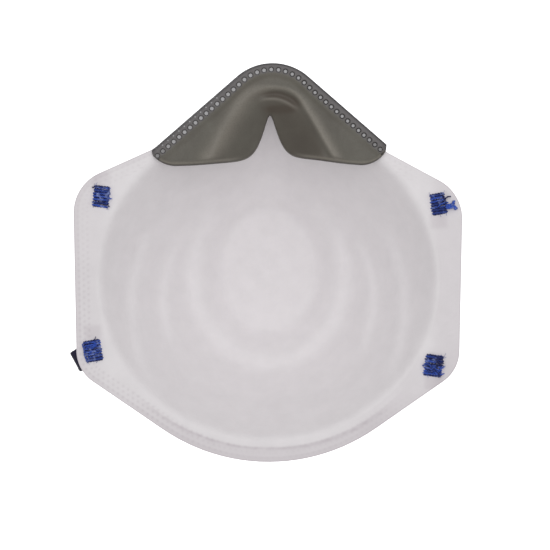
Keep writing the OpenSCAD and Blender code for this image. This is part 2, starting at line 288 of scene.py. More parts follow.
def slope(r, angle):
    """The wall's steepness with its relief"""
    at_sides = 1 - ramp(np.abs(np.sin(angle) - RIB_MIDDLE), RIB_REACH, RIB_FADE)
    round_chin = 1 - RING_FADE * ramp(np.sin(angle), FADE_START, FADE_REACH)
    relief = (1 - RING_EASE * round_chin * bell((r - oval(angle, *RING)) / RING_WIDTH)
              - INNER_RIB_EASE * at_sides * bell((r - oval(angle, *INNER_RIB)) / INNER_RIB_WIDTH)
              - OUTER_RIB_EASE * at_sides * bell((r - oval(angle, *OUTER_RIB)) / OUTER_RIB_WIDTH))
    return plain_slope(r, angle) * relief


def climb(angle, start, end, slices=48):
    """How far the wall climbs between two radii, before the depth is set"""
    step = (end - start) / slices
    return sum(slope(start + (i + 0.5) * step, angle) for i in range(slices)) * step


def skin(r, angle, share):
    """Points on the surface that lies the given share of the wall outside the cup's inside"""
    rim = mouth(angle)
    inside = np.minimum(r, rim)
    whole = climb(angle, 0 * rim, rim)
    depth = np.where(r < rim, CUP_DEPTH * climb(angle, inside, rim) / whole, 0)
    fade = 1 - ramp(r / rim, LEAN_END, LEAN_FADE)
    lean = np.arctan(CUP_DEPTH * plain_slope(inside, angle) / whole) * fade
    off = share * WALL * (1 - (1 - FLANGE_PRESS) * ramp(r / rim, PRESS_START, PRESS_FADE))
    out, y = r + off * np.sin(lean), depth + off * np.cos(lean)
    points = np.stack([out * np.cos(angle), y, out * np.sin(angle)], axis=-1)
    normals = np.stack([np.sin(lean) * np.cos(angle), np.cos(lean), np.sin(lean) * np.sin(angle)], axis=-1)
    return points, normals


# ---- Making meshes ----

SHARP_ANGLE = 50
# How far a tube's end domes out, as a share of its radius, and a way that no tube runs
DOME = 0.6
UNLIKELY_WAY = (0.31, 0.2, 0.93)


def make(name, points, faces, material, body="root", replaces=None, floats=None):
    """A closed mesh piece, scaled to metres, that rides on a CAD body; body None leaves it on no body"""
    mesh = bpy.data.meshes.new(name)
    mesh.from_pydata((np.asarray(points) * MM).tolist(), [], faces)
    tidy = bmesh.new()
    tidy.from_mesh(mesh)
    bmesh.ops.recalc_face_normals(tidy, faces=tidy.faces)
    tidy.to_mesh(mesh)
    tidy.free()
    mesh.shade_smooth()
    mesh.set_sharp_from_angle(angle=math.radians(SHARP_ANGLE))
    for key, values in (floats or {}).items():
        attribute = mesh.attributes.new(key, "FLOAT", "POINT")
        attribute.data.foreach_set("value", np.asarray(values, np.float32))
    mesh.materials.append(material)
    piece = bpy.data.objects.new(name, mesh)
    bpy.context.scene.collection.objects.link(piece)
    if body:
        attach(piece, body)
    for node in replaces or []:
        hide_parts(node)
    return piece


def between(row, next_row):
    """Quads between two rows of point numbers"""
    return np.stack([row[:-1], row[1:], next_row[1:], next_row[:-1]], axis=1).tolist()


def closed(row):
    """A row of point numbers with its first one repeated at the end"""
    return np.append(row, row[0])


def border_of(grid):
    """The point numbers round the edge of a grid, once"""
    return np.concatenate([grid[0, :-1], grid[:-1, -1], grid[-1, :0:-1], grid[:0:-1, 0]])


def joined(row, other):
    """Faces between two closed rows, one of which may be three times as fine as the other"""
    if len(row) == len(other):
        return between(closed(row), closed(other))
    coarse, fine = sorted((row, other), key=len)
    thirds = fine.reshape(-1, 3)
    ahead, last = np.roll(coarse, -1), np.roll(thirds[:, 0], -1)
    return (np.stack([coarse, thirds[:, 0], thirds[:, 1]], axis=1).tolist()
            + np.stack([coarse, thirds[:, 1], thirds[:, 2], ahead], axis=1).tolist()
            + np.stack([ahead, thirds[:, 2], last], axis=1).tolist())


class Builder:
    """Collects points, faces and one number per point for a mesh"""

    def __init__(self):
        self.points, self.faces, self.values, self.count = [], [], [], 0

    def row(self, points, values=0.0):
        """Adds points and returns their numbers"""
        points = np.atleast_2d(points)
        self.points.append(points)
        self.values.append(np.broadcast_to(values, len(points)))
        self.count += len(points)
        return np.arange(self.count - len(points), self.count)

    def join(self, rings):
        """Joins each closed ring of point numbers to the next"""
        for ring, following in zip(rings, rings[1:]):
            self.faces += joined(ring, following)

    def cap(self, ring, centre, value=0.0):
        """Closes a ring of points with a fan round its centre"""
        hub = self.row(centre, value)[0]
        loop = closed(ring)
        self.faces += np.stack([loop[:-1], loop[1:], np.full(len(ring), hub)], axis=1).tolist()

    def tube(self, path, radius, sides=8, value=0.0):
        """A round tube with domed ends along a path; radius is one number or one for each point"""
        path = np.asarray(path, float)
        radii = np.broadcast_to(radius, len(path)).astype(float)
        along = unit(np.gradient(path, axis=0))
        side = unit(np.cross(along, UNLIKELY_WAY))
        up = np.cross(along, side)
        cos, sin = circle(sides).T[..., None]
        rings = [self.row(path[i] + radii[i] * (cos * side[i] + sin * up[i]), value)
                 for i in range(len(path))]
        self.join(rings)
        self.cap(rings[0], path[0] - along[0] * radii[0] * DOME, value)
        self.cap(rings[-1], path[-1] + along[-1] * radii[-1] * DOME, value)

    def make(self, name, material, value_name="shade", **extras):
        floats = {value_name: np.concatenate(self.values), **extras.pop("floats", {})}
        return make(name, np.concatenate(self.points), self.faces, material, floats=floats, **extras)


# ---- Materials ----

def srgb(red, green, blue):
    """A colour given as it looks, 0 to 255, as the shader wants it"""
    def linear(value):
        share = value / 255
        return share / 12.92 if share <= 0.04045 else ((share + 0.055) / 1.055) ** 2.4
    return (linear(red), linear(green), linear(blue), 1)


class Shader:
    """A Principled material for one of the record's slots, with short calls for the nodes in front of it"""

    def __init__(self, slot, roughness, **uniform):
        self.material = bpy.data.materials.new(slot + "_look")
        self.material["slot"] = slot
        self.material.use_nodes = True
        self.tree = self.material.node_tree
        self.shader = self.tree.nodes["Principled BSDF"]
        self.shader.inputs["Roughness"].default_value = roughness
        for key, value in uniform.items():
            self.shader.inputs[key.replace("_", " ")].default_value = value

    def node(self, kind, inputs=None, **settings):
        node = self.tree.nodes.new(kind)
        for key, value in settings.items():
            setattr(node, key, value)
        for key, value in (inputs or {}).items():
            if isinstance(value, bpy.types.NodeSocket):
                self.tree.links.new(value, node.inputs[key])
            else:
                node.inputs[key].default_value = value
        return node

    def noise(self, size, detail=3, stretch=(1, 1, 1), distortion=0.0, roughness=0.5):
        """Noise whose features are about size millimetres, squeezed by stretch along each axis"""
        place = self.node("ShaderNodeTexCoord").outputs["Object"]
        scaled = self.node("ShaderNodeMapping", {"Vector": place, "Scale": stretch}).outputs["Vector"]
        inputs = {"Vector": scaled, "Scale": 1 / (size * MM), "Detail": detail,
                  "Roughness": roughness, "Distortion": distortion}
        return self.node("ShaderNodeTexNoise", inputs).outputs["Fac"]

    def attribute(self, name):
        """A number that the mesh holds for each of its points"""
        return self.node("ShaderNodeAttribute", attribute_name=name).outputs["Fac"]

    def spread(self, value, low, high, to_low=0.0, to_high=1.0):
        """Value from low to high, stretched over to_low to to_high and held there"""
        inputs = {"Value": value, "From Min": low, "From Max": high, "To Min": to_low, "To Max": to_high}
        return self.node("ShaderNodeMapRange", inputs).outputs["Result"]

    def blend(self, share, a, b):
        """Colour a turning to colour b as share goes from 0 to 1; a colour may be given as it looks"""
        colours = [srgb(*colour) if isinstance(colour, tuple) else colour for colour in (a, b)]
        inputs = {0: share, 6: colours[0], 7: colours[1]}
        return self.node("ShaderNodeMix", inputs, data_type="RGBA").outputs[2]

    def mottle(self, value, low, high, a, b, most=1.0):
        """Colour a turning to colour b, by most, as the value goes from low to high"""
        return self.blend(self.spread(value, low, high, 0, most), a, b)

    def bump(self, height, distance, strength=1.0, under=None):
        """A bump whose full height is distance millimetres"""
        inputs = {"Height": height, "Strength": strength, "Distance": distance * MM}
        if under:
            inputs["Normal"] = under
        return self.node("ShaderNodeBump", inputs).outputs["Normal"]

    def wire(self, **sockets):
        """Links results to the shader's own sockets and returns the finished material"""
        for key, value in sockets.items():
            self.tree.links.new(value, self.shader.inputs[key.replace("_", " ")])
        return self.material


def nonwoven(slot, colour, mottled, pressed, fibre):
    """Thermally bonded fibres, about as coarse as fibre: mottled where denser, darker where pressed and where
    shade is painted on the flange
    """
    s = Shader(slot, 0.85, Sheen_Weight=0.25, Sheen_Roughness=0.5, Specular_IOR_Level=0.25)
    clouds = s.noise(7, detail=4, roughness=0.6)
    web = s.noise(fibre * 2, detail=5, stretch=(1, 1, 0.35), distortion=1.4)
    cross = s.noise(fibre * 2.4, detail=4, stretch=(0.3, 1, 1), distortion=1.1)
    fibres = s.node("ShaderNodeMath", {0: web, 1: cross}, operation="MAXIMUM").outputs[0]
    colour_mix = s.mottle(clouds, 0.35, 0.7, colour, mottled)
    colour_mix = s.mottle(fibres, 0.5, 0.75, colour_mix, colour, 0.35)
    # The pressed colour, by the shade attribute: pressed greying, and painted shade on the flange
    colour_mix = s.blend(s.attribute("shade"), colour_mix, pressed)
    fuzz = s.bump(fibres, 0.05, 0.6)
    normal = s.bump(clouds, 0.06, 0.2, under=fuzz)
    rough = s.spread(fibres, 0.4, 0.8, 0.95, 0.75)
    return s.wire(Base_Color=colour_mix, Normal=normal, Roughness=rough)


def foam_membrane():
    """A thin satin skin over closed foam: bluer where it is heat-sealed, with painted highlight on its ridge,
    pleat and lip, and painted shade inside the ridge and along its edges
    """
    s = Shader("grey_foam", 0.42, Specular_IOR_Level=0.28)
    clouds = s.noise(9, detail=3)
    pores = s.noise(0.5, detail=5, roughness=0.65)
    colour = s.mottle(clouds, 0.35, 0.65, (99, 96, 88), (91, 87, 80))
    # Painted shade: darker and browner inside the ridge and round the pleat
    colour = s.blend(s.attribute("painted_shade"), colour, (79, 71, 63))
    colour = s.blend(s.attribute("sealed"), colour, (108, 105, 107))
    # Painted highlight along the ridge's crest, on the pleat and on the lip
    colour = s.blend(s.attribute("painted_highlight"), colour, (152, 146, 136))
    # Painted shade: a dark line along the pad's cut border and under the lobes' lower edge
    colour = s.blend(s.attribute("cut"), colour, (52, 50, 54))
    colour = s.mottle(pores, 0.45, 0.7, colour, (84, 80, 74), 0.3)
    normal = s.bump(pores, 0.025, 0.7)
    rough = s.spread(pores, 0.3, 0.7, 0.36, 0.52)
    return s.wire(Base_Color=colour, Normal=s.bump(clouds, 0.15, 0.3, under=normal), Roughness=rough)


def weld_plastic():
    """Melted and pressed fibres, nearly smooth"""
    s = Shader("weld_spots", 0.4, Specular_IOR_Level=0.5)
    grain = s.noise(0.3, detail=3)
    colour = s.mottle(grain, 0.35, 0.7, (182, 181, 182), (160, 159, 161))
    # Painted shade round each disc's rim, where the pit's wall shades it, and greyer all over on the dull
    # discs
    colour = s.blend(s.attribute("shade_and_dull"), colour, (60, 57, 56))
    return s.wire(Base_Color=colour, Normal=s.bump(grain, 0.03, 0.5))


def clip_aluminium():
    """Soft rolled aluminium: fine rolling lines along the strip and a few handling scuffs"""
    s = Shader("clip_aluminium", 0.34, Metallic=1.0)
    lines = s.noise(0.35, detail=4, stretch=(0.06, 1, 1.6))
    scuffs = s.noise(3, detail=5, roughness=0.7)
    colour = s.mottle(lines, 0.35, 0.65, (212, 214, 217), (190, 192, 196))
    colour = s.mottle(scuffs, 0.6, 0.75, colour, (168, 170, 174), 0.4)
    rough = s.spread(scuffs, 0.4, 0.75, 0.28, 0.5)
    return s.wire(Base_Color=colour, Roughness=rough, Normal=s.bump(lines, 0.02, 0.6))


def band_elastic():
    """Knitted elastic in dark navy, with painted shade in the grooves between its raised cords"""
    s = Shader("band_elastic", 0.75, Sheen_Weight=0.35, Sheen_Roughness=0.4, Specular_IOR_Level=0.3)
    fibres = s.noise(0.3, detail=4, distortion=0.8)
    clouds = s.noise(5, detail=2)
    colour = s.mottle(clouds, 0.35, 0.65, (42, 37, 66), (34, 30, 56))
    # Painted shade: darker in the grooves between the raised cords
    colour = s.blend(s.attribute("raised"), (18, 15, 38), colour)
    colour = s.mottle(fibres, 0.52, 0.75, colour, (72, 68, 106), 0.3)
    return s.wire(Base_Color=colour, Normal=s.bump(fibres, 0.05, 0.8))


def tack_thread():
    """Shiny polyester thread, each ply a slightly different blue; a low tint also paints shade on the
    underlay
    """
    s = Shader("tack_thread", 0.5, Sheen_Weight=0.1, Specular_IOR_Level=0.4)
    patches = s.noise(1.6, detail=3)
    fibres = s.noise(0.16, detail=4, stretch=(0.4, 1, 1))
    colour = s.blend(s.attribute("tint"), (4, 12, 72), (50, 88, 192))
    colour = s.mottle(patches, 0.52, 0.7, colour, (146, 162, 216), 0.85)
    colour = s.mottle(fibres, 0.5, 0.75, colour, (14, 20, 78), 0.35)
    return s.wire(Base_Color=colour, Normal=s.bump(fibres, 0.03, 0.8))


# ---- The four moulded layers ----

FLANGE_COLUMNS = 1440
CUP_COLUMNS = FLANGE_COLUMNS // 3
PRESSED_WIDTH = 6
# Where the flange is narrow: the share of it that is pressed, and the parts its width is evened out over
PRESSED_SHARE = 0.7
EVEN_PARTS = 24
PRESSED_ROWS = 22
DOT_PITCH = 2.2
DOT_ROWS = (1.5, 3.2, 4.9)
DOT_RADIUS = 0.5
DOT_DEPTH = 0.12
DOT_STRENGTH = 0.5
# Creases by the lower right tack: centre x, centre z, tilt in degrees and length
CREASES = ((68.4, -12.6, 55, 3.2), (65.6, -15.4, 35, 2.6), (63.2, -18.6, 65, 2.8), (67.0, -20.0, 20, 2.2))
CREASE_WIDTH = 0.55
CREASE_HEIGHT = 0.16
# Half width, half height and soft edge of the dent under a tack, and of the flat mark beside it
DENT = (3.9, 4.1, 1.6)
MARK = (3.1, 2.3, 2.2)
MARK_ABOVE = 7
MARK_BELOW = -6.6
DENT_DEPTH = 0.12
MARK_DEPTH = 0.07
WANDER_DEPTH = 0.035
SUNK_RANGE = (-0.4, 0.15)
# How dark the dots, the dents and the marks are
DOT_SHADE = 0.6
DENT_SHADE = 0.15
MARK_SHADE = 0.3
# How far the cup's long and short swells reach: wavelength, height and seed
SWELLS = ((18, 0.035, 9), (6, 0.006, 12))
# How grey each part of the flange is: at the chin, the lower right, the right side, the line round the rim
# and the outline it is painted shade
FLANGE_TONES = {"chin": 0.36, "lower right": 0.18, "sides": 0.16, "right side": 0.1, "groove_shade": 0.4,
                "sealed strip": 0.14, "outline": 0.45}


def flange_grid(columns, pressed_rows, plain_rows):
    """Points [x, z] from the outline in to the mouth, with the distance along and from the outline"""
    edge = outline(columns)
    ahead = np.roll(edge, -1, axis=0) - np.roll(edge, 1, axis=0)
    inwards = unit(np.stack([ahead[:, 1], -ahead[:, 0]], axis=1))
    angle = np.arctan2(edge[:, 1], edge[:, 0])
    rim = mouth(angle)[:, None] * np.stack([np.cos(angle), np.sin(angle)], axis=1)
    gap = np.linalg.norm(edge, axis=1) - mouth(angle)
    beyond = columns // EVEN_PARTS
    window = np.full(2 * beyond + 1, 1 / (2 * beyond + 1))
    even_gap = np.convolve(np.concatenate([gap[-beyond:], gap, gap[:beyond]]), window, "valid")
    width = np.minimum(PRESSED_WIDTH, PRESSED_SHARE * np.minimum(gap, even_gap))[:, None]
    rows = [edge + inwards * width * j / pressed_rows for j in range(pressed_rows + 1)]
    start = rows[-1]
    rows += [start + (rim - start) * j / plain_rows for j in range(1, plain_rows + 1)]
    along = lengths(np.concatenate([edge, edge[:1]]))[:-1]
    depth = [np.linalg.norm(row - edge, axis=1) for row in rows]
    return rows, along, depth, angle


def pressed_dots(x, z, along, depth):
    """Staggered rows of small dots along the edge, strong at the left and below, faint at the right"""
    value = 0 * x
    for number, row in enumerate(DOT_ROWS):
        offset = ((along / DOT_PITCH + number / 2) % 1 - 0.5) * DOT_PITCH
        value = value + bell(np.hypot(offset, depth - row) / DOT_RADIUS)
    left = ramp(-x, 22, 22) * (0.45 + 0.55 * ramp(-z, -22, 30))
    lower = ramp(-z, 38, 12) * (0.7 - 0.5 * bell(x / 15)) * (0.9 - 0.3 * ramp(x, 0, 30))
    by_foam = 0.6 * bell((np.abs(x) - 48) / 6) * ramp(z, 30, 6)
    faintest = 0.1 + 0 * x
    return DOT_STRENGTH * value * np.max([left, lower, by_foam, faintest], axis=0)


def flange_tone(x, z, depth):
    """How grey the flange is, from its sealed strip and its sides to the dark line round the rim at the chin;
    painted shade darkens the chin, the lower right, the right side, that line and the outline
    """
    past_rim = np.hypot(x, z) - mouth(np.arctan2(z, x))
    groove_place = 2.1 + 0.6 * ramp(x, 0, 20)
    blotch = 0.7 + 0.3 * waves(np.stack([x, z], axis=-1), 3.2, seed=41)
    sides = ramp(np.abs(x), 58, 6)
    shares = {
        # Painted shade towards the chin
        "chin": ramp(-z, 34, 24) * ramp(past_rim, 1.4, 0.8),
        # Painted shade at the lower right
        "lower right": ramp(x, 25, 15) * ramp(-z, 22, 12),
        "sides": sides,
        # Painted shade on the right side
        "right side": sides * ramp(x, 0, 60),
        # Painted shade: a dark line round the rim at the chin
        "groove_shade": bell((past_rim - groove_place) / 0.7) * ramp(-z, 44, 8) * blotch,
        "sealed strip": (1 - ramp(depth, 1.6, 0.5)) * (1 - ramp(x, 20, 20)),
        # Painted shade: a dark outline along the flange's edge
        "outline": 1 - ramp(depth, 0.1, 0.4),
    }
    return sum(FLANGE_TONES[part] * share for part, share in shares.items())


def turned(x, z, centre_x, centre_z, tilt):
    """How far points lie along and across a line that is tilted in degrees about a centre"""
    c, s = math.cos(math.radians(tilt)), math.sin(math.radians(tilt))
    return (x - centre_x) * c + (z - centre_z) * s, (z - centre_z) * c - (x - centre_x) * s


def rectangle(u, v, half_width, half_height, edge):
    """1 inside a rectangle, fading to 0 over its edge"""
    return smooth((half_width - np.abs(u)) / edge + 0.5) * smooth((half_height - np.abs(v)) / edge + 0.5)


def sewing_marks(x, z):
    """How far the tacks dent the flange, and the flat marks above the left ones and below the right ones"""
    dent, mark = 0 * x, 0 * x
    for centre_x, centre_z, tilt, _ in TACKS.values():
        mark_z = centre_z + (MARK_ABOVE if centre_x < 0 else MARK_BELOW)
        dent = dent + rectangle(*turned(x, z, centre_x, centre_z, tilt), *DENT)
        mark = mark + rectangle(*turned(x, z, centre_x, mark_z, tilt / 2), *MARK)
    return dent, mark


def creases(x, z):
    """1 along the middle of each crease"""
    value = 0 * x
    for centre_x, centre_z, tilt, length in CREASES:
        u, v = turned(x, z, centre_x, centre_z, tilt)
        value = value + bell(1.6 * u / length) * bell(v / CREASE_WIDTH)
    return value


def side_of(builder, share, columns, pressed_rows, plain_rows, cup_rows, inwards):
    """One side of a layer. inwards is +1 on the face side, -1 outside and 0 where nothing shows"""
    rows, along, depth, angle = flange_grid(columns, pressed_rows, plain_rows)
    rings = []
    for number, row in enumerate(rows):
        x, z = row.T
        points, normals = skin(np.hypot(x, z), np.arctan2(z, x), share)
        dots = pressed_dots(x, z, along, depth[number])
        dent, mark = sewing_marks(x, z)
        sunk = (DOT_DEPTH * dots + DENT_DEPTH * dent + MARK_DEPTH * mark
                - CREASE_HEIGHT * creases(x, z) + WANDER_DEPTH * waves(row, 9, seed=4))
        # flange_tone adds painted shade to the pressed greying
        shade = DOT_SHADE * dots + DENT_SHADE * dent + MARK_SHADE * mark + flange_tone(x, z, depth[number])
        points = points + inwards * np.clip(sunk, *SUNK_RANGE)[:, None] * normals
        rings.append(builder.row(points, np.clip(shade, 0, 1) * abs(inwards)))
    angle = angle[::columns // CUP_COLUMNS]
    for reach in cup_rows:
        points, normals = skin(mouth(angle) * reach, angle, share)
        swell = sum(height * waves(points, wavelength, seed) for wavelength, height, seed in SWELLS)
        points = points + abs(inwards) * swell[:, None] * normals * smooth((1 - reach) / 0.05)
        rings.append(builder.row(points))
    builder.join(rings)
    builder.cap(rings[-1], [0, CUP_DEPTH + share * WALL, 0])
    return rings[0]


FINE_CUP_ROWS = np.concatenate([np.linspace(0.985, 0.9, 9), np.linspace(0.887, 0.02, 52)])
PLAIN_CUP_ROWS = np.concatenate([np.linspace(0.97, 0.9, 4), np.linspace(0.86, 0.04, 22)])
FINE_SIDE = (FLANGE_COLUMNS, PRESSED_ROWS, 6, FINE_CUP_ROWS)
PLAIN_SIDE = (CUP_COLUMNS, 2, 2, PLAIN_CUP_ROWS)


def layer(name, shares, material, shown):
    """One closed moulded layer; shown is face, outside or None, the side that needs its detail"""
    builder = Builder()
    edges = [side_of(builder, share, *(FINE_SIDE if shown == side else PLAIN_SIDE), inwards * (shown == side))
             for share, side, inwards in zip(shares, ("face", "outside"), (1, -1))]
    builder.join(edges)
    return builder.make(name, material, replaces=[name])


def layers():
    """The four webs: share of the wall, slot, plain, mottled and pressed colour (which also serves the
    flange's painted shade), fibre, and the side shown
    """
    webs = {
        "inner_cover": (INNER_COVER, "inner_nonwoven", (235, 231, 233), (230, 226, 228), (200, 192, 197),
                        0.35, "face"),
        "support_shell": (SUPPORT_SHELL, "support_felt", (226, 223, 216), (216, 212, 205), (200, 198, 192),
                          0.5, None),
        "filter_layer": (FILTER_LAYER, "filter_web", (238, 239, 243), (229, 231, 236), (205, 206, 212),
                         0.25, None),
        "outer_cover": (OUTER_COVER, "outer_nonwoven", (238, 237, 235), (230, 229, 227), (208, 206, 204),
                        0.3, "outside"),
    }
    for name, (shares, slot, plain, mottled, pressed, fibre, shown) in webs.items():
        material = nonwoven(slot, plain, mottled, pressed, fibre)
        layer(name, shares, material, shown)


# ---- Nose foam and its welds ----

CELLS = 6
CELL = WELD_PITCH / CELLS
FOAM_COLUMNS = WELD_COUNT * CELLS
BLOCK_TOP = WELD_INSET - WELD_PITCH / 2
BLOCK_LOW = WELD_INSET + WELD_PITCH / 2
EDGE_INSETS = (-0.25, -0.1, 0.2, 0.5)
LEFT_TIP = 1.0
RIGHT_TIP = 1.4
BIT_RANGE = (-50.5, -22)
BIT_INSET = 1.05
BIT_RADIUS = 0.36
BIT_TOP = 2.02
PIT_DEPTH = 1.55
# How the skin runs down into a weld's pit: radius and depth
PIT_LEVELS = ((1.16, 0), (1.02, 0.06), (0.92, 0.18), (0.87, 0.4), (0.87, PIT_DEPTH))
# Where the pad dips into the cup: centre x and z, half width and half height
ARCH = (0, 40, 22, 30)
FOAM_DIP = 9
ARCH_START, ARCH_REACH = 0.97, 0.7
# Shares of the pad's thickness that are left at its sealed band and at its border
SEAL_SHARE = 0.86
EDGE_SHARE = 0.3
BACK_ROUND = 0.25
WELD_BASE = 0.03
WELD_SUNK = 0.42
WELD_TOP = SKIN_GAP + FOAM_THICK * SEAL_SHARE - WELD_SUNK
RIDGE_HEIGHT = 0.95
PLEAT_HEIGHT, PLEAT_DEPTH = 0.3, 0.6
WELT_HEIGHT = 0.16
# The least distance between rows where they gather at the lower edge
ROW_GAP = 0.004
# Points [x, z] that the skin's ridge over the nose runs through, and those of the pleat inside it
RIDGE = ((-21.8, 44), (-16.3, 52.5), (-11.6, 61), (-7, 68.3), (1.5, 71), (9.6, 68.8), (15, 61.2),
         (20.6, 51.5), (25.2, 43.5))
PLEAT = ((-5.5, 64.6), (-1, 66), (3, 66.1), (6.5, 65), (9.5, 63.2), (12, 61.2))


def nose_edge(along, inset):
    """A point that far along the nose edge from its middle, with the edge moved inwards by inset"""
    radius = NOSE_RADIUS - inset
    arc = radius * NOSE_SLOPE
    centre_z = NOSE_VERTEX_Z - NOSE_RADIUS / math.cos(NOSE_SLOPE)
    turn = np.minimum(np.abs(along), arc) / radius
    past = np.maximum(0, np.abs(along) - arc)
    x = np.sign(along) * (radius * np.sin(turn) + past * math.cos(NOSE_SLOPE))
    z = centre_z + radius * np.cos(turn) - past * math.sin(NOSE_SLOPE)
    return np.stack([x + NOSE_SHIFT, z], axis=-1)


def lower_edge(x):
    """The pad's free edge: falling gently to both lobes, cut by the notch and rounded up at its ends"""
    rise = EDGE_RISE * bell((x - RISE_X) / RISE_WIDTH)
    aside = np.hypot(x - NOTCH_X, NOTCH_ROUND) - NOTCH_ROUND
    notch = NOTCH_RISE * np.exp(-(aside / NOTCH_WIDTH) ** NOTCH_SHARPNESS)
    end = END_ROUND - np.sqrt(END_ROUND ** 2 - np.maximum(0, np.abs(x) - END_START) ** 2)
    return np.stack([x, FOAM_EDGE_Z + rise + notch + end], axis=-1)


def in_oval(x, z, centre_x, centre_z, half_width, half_height):
    """1 on an oval, less inside it and more outside"""
    return np.hypot((x - centre_x) / half_width, (z - centre_z) / half_height)


def through(guides, count=400):
    """A smooth curve through guide points, its first and last point included"""
    guides = np.array(guides, float)
    padded = np.concatenate([2 * guides[:1] - guides[1:2], guides, 2 * guides[-1:] - guides[-2:-1]])
    place = np.linspace(0, len(guides) - 1, count)
    span = np.minimum(place.astype(int), len(guides) - 2)
    t = (place - span)[:, None]
    a, b, c, d = (padded[span + k] for k in range(4))
    return b + 0.5 * t * (c - a + t * (2 * a - 5 * b + 4 * c - d + t * (3 * (b - c) + d - a)))


def beside(points, curve):
    """How far points lie from a curve, positive on its outer side, and the share of it they are level with"""
    ahead = np.gradient(curve, axis=0)
    flat = points.reshape(-1, 2)
    nearest = np.concatenate([((part[:, None] - curve) ** 2).sum(axis=2).argmin(axis=1)
                              for part in np.array_split(flat, 20)])
    off = flat - curve[nearest]
    side = np.sign(ahead[nearest, 0] * off[:, 1] - ahead[nearest, 1] * off[:, 0])
    distance = side * np.linalg.norm(off, axis=1)
    return distance.reshape(points.shape[:-1]), (nearest / (len(curve) - 1)).reshape(points.shape[:-1])


def foam_back(x, z):
    """The pad's cup side: flat on the flange, dipping into the cup under the arch"""
    return FOAM_DIP * smooth((ARCH_START - in_oval(x, z, *ARCH)) / ARCH_REACH) - SKIN_GAP


def foam_guides(points):
    """How far points lie from the ridge, the share of it, how far from the pleat, and 1 along its middle"""
    off, share = beside(points, through(RIDGE))
    over, part = beside(points, through(PLEAT))
    return off, share, over, smooth(part / 0.3) * smooth((1 - part) / 0.3)


def rounded_edge(distance, width):
    """A quarter round: 0 at an edge, rising to 1 at the width"""
    return np.sqrt(1 - (1 - np.clip(distance / width, 0, 1)) ** 2)


def foam_face(points, guides, to_edge, to_top, to_low):
    """The pad's face side, over points [x, z], given their distances to the border"""
    x, z = points[..., 0], points[..., 1]
    off, share, over, along_pleat = guides
    thick = FOAM_THICK * (SEAL_SHARE + (1 - SEAL_SHARE) * ramp(to_top, 3.2, 3))
    lobes = ramp(np.abs(x), 6, 8)
    lip_width = 0.7 + 0.9 * lobes
    rim = np.minimum(rounded_edge(to_edge, 0.8), rounded_edge(to_low, lip_width))
    welt = WELT_HEIGHT * lobes * bell((to_low - lip_width - 0.15) / 0.35)
    inner_width = 1.5 + 1.7 * (1 - ramp(share, 0.3, 0.25))
    ridge = RIDGE_HEIGHT * bell(off / np.where(off > 0, 4.5, inner_width)) * ramp(to_low, 0.3, 2.5)
    pleat = (PLEAT_HEIGHT * bell(over / 0.9) - PLEAT_DEPTH * bell((over - 2) / 1.2)) * along_pleat
    soft = 0.05 * waves(points, 11, seed=21) + 0.015 * waves(points, 4, seed=22)
    relief = (ridge + pleat + soft) * ramp(to_top, 3.4, 2)
    return foam_back(x, z) - thick * (EDGE_SHARE + (1 - EDGE_SHARE) * rim) - relief - welt


def foam_tones(points, guides, to_low):
    """How much painted highlight the skin gets along its ridge, pleat and lip, and how much painted shade
    inside the ridge
    """
    x, z = points[..., 0], points[..., 1]
    off, share, over, along_pleat = guides
    at_left = 1 - ramp(share, 0.3, 0.25)
    at_crown = bell((share - 0.5) / 0.16)
    at_right = ramp(share, 0.6, 0.2)
    off = off + 0.9 * at_crown
    reach = 0.7 + np.where(off > 0.2, 2.4 * at_left + 1.3 * at_right, 2.8 * at_left + 0.2 * at_right)
    # Painted highlight along the ridge's crest, beside the crown, on the pleat and on the lip
    ridge = (0.5 - 0.06 * at_left - 0.1 * at_crown) * bell((off - 0.2) / reach) * ramp(to_low, 0.8, 2)
    outside = 0.13 * at_crown * bell((off - 4) / 2.2)
    pleat = 0.3 * along_pleat * bell(over / 0.6)
    lip = 0.45 * ramp(np.abs(x), 8, 8) * bell((to_low - 1) / 0.5)
    # Painted shade in the valleys round the pleat, and inside the ridge on its right
    hollow = along_pleat * (bell((over - 1.9) / 1.3) + 0.8 * bell((z - 62.6) / 1.5))
    brown = 0.45 * ramp(-off, 0, 4) * ramp(x, -5, 9)
    return ridge + outside + pleat + lip, np.clip(brown + hollow, 0, 1)


def drift(along):
    """How much further in the welds run along the two slopes"""
    return WELD_DRIFT * smooth(np.abs(along) / DRIFT_REACH)


